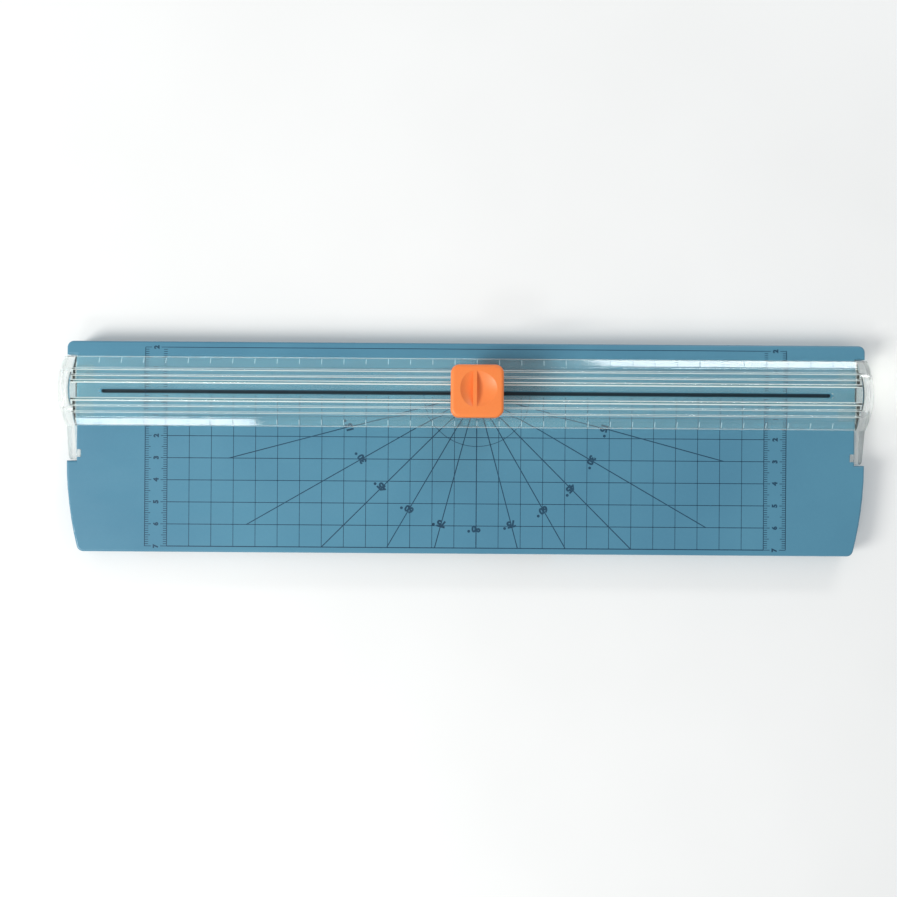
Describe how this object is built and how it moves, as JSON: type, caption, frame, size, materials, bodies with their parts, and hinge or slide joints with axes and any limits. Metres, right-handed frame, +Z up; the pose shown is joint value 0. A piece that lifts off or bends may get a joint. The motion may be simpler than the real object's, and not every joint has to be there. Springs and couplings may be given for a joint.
{
  "type": "rotary paper trimmer",
  "caption": "Compact sliding paper trimmer: flat base printed with a centimetre grid and protractor, hinged transparent rail, and a push-down cutter head carrying a round blade.",
  "frame": {"origin": "on the desk, at the middle of the object's bounding box", "axes": "+X along the cut, towards the right end seen from above with the rail at the far side; +Y from the user's edge towards the rail; +Z up"},
  "size_m": [0.368, 0.0954, 0.0322],
  "materials": {
    "base_plastic": "fine satin texture",
    "strip_plastic": "soft matte",
    "foot_rubber": "matte",
    "arm_plastic": "fine satin texture",
    "fastener_steel": "zinc plated",
    "clear_plastic": "clear polished moulding",
    "cap_plastic": "semi-gloss moulding",
    "holder_plastic": "satin",
    "blade_steel": "ground and polished",
    "spring_steel": "drawn wire"
  },
  "bodies": {
    "base": {"base_plate": "base_plastic", "cutting_strip": "strip_plastic", "foot_front_left": "foot_rubber", "foot_front_middle": "foot_rubber", "foot_front_right": "foot_rubber", "foot_back_left": "foot_rubber", "foot_back_middle": "foot_rubber", "foot_back_right": "foot_rubber", "ruler_arm_washer": "fastener_steel", "ruler_arm_screw": "fastener_steel"},
    "rail": {"rail_profile": "clear_plastic", "rail_arm_left": "clear_plastic", "rail_arm_right": "clear_plastic"},
    "cutter_head": {"carriage": "cap_plastic", "return_spring_left": "spring_steel", "return_spring_right": "spring_steel"},
    "cap": {"finger_cap": "cap_plastic", "blade_holder": "holder_plastic", "cap_screws": "fastener_steel", "blade_axle": "fastener_steel"},
    "blade": {"rotary_blade": "blade_steel", "blade_hub": "holder_plastic"},
    "ruler_arm": {"ruler_arm": "arm_plastic"}
  },
  "joints": [
    {"name": "rail_lift", "type": "hinge", "parent": "base", "child": "rail", "pos_m": [0, -0.0032, 0.007], "axis": [1, 0, 0], "range_deg": [0, 50]},
    {"name": "head_slide", "type": "slide", "parent": "rail", "child": "cutter_head", "axis": [1, 0, 0], "range_m": [-0.1651, 0.1559]},
    {"name": "cap_press", "type": "slide", "parent": "cutter_head", "child": "cap", "axis": [0, 0, 1], "range_m": [-0.0023, 0], "stiffness_N_per_m": 500, "springref_m": 0.002, "deforming": ["return_spring_left", "return_spring_right"]},
    {"name": "blade_spin", "type": "hinge", "parent": "cap", "child": "blade", "pos_m": [0.0046, 0.025, 0.0203], "axis": [0, 1, 0], "continuous": true},
    {"name": "ruler_swing", "type": "hinge", "parent": "base", "child": "ruler_arm", "pos_m": [-0.14, -0.038, 0.0036], "axis": [0, 0, -1], "range_deg": [0, 90]}
  ]
}
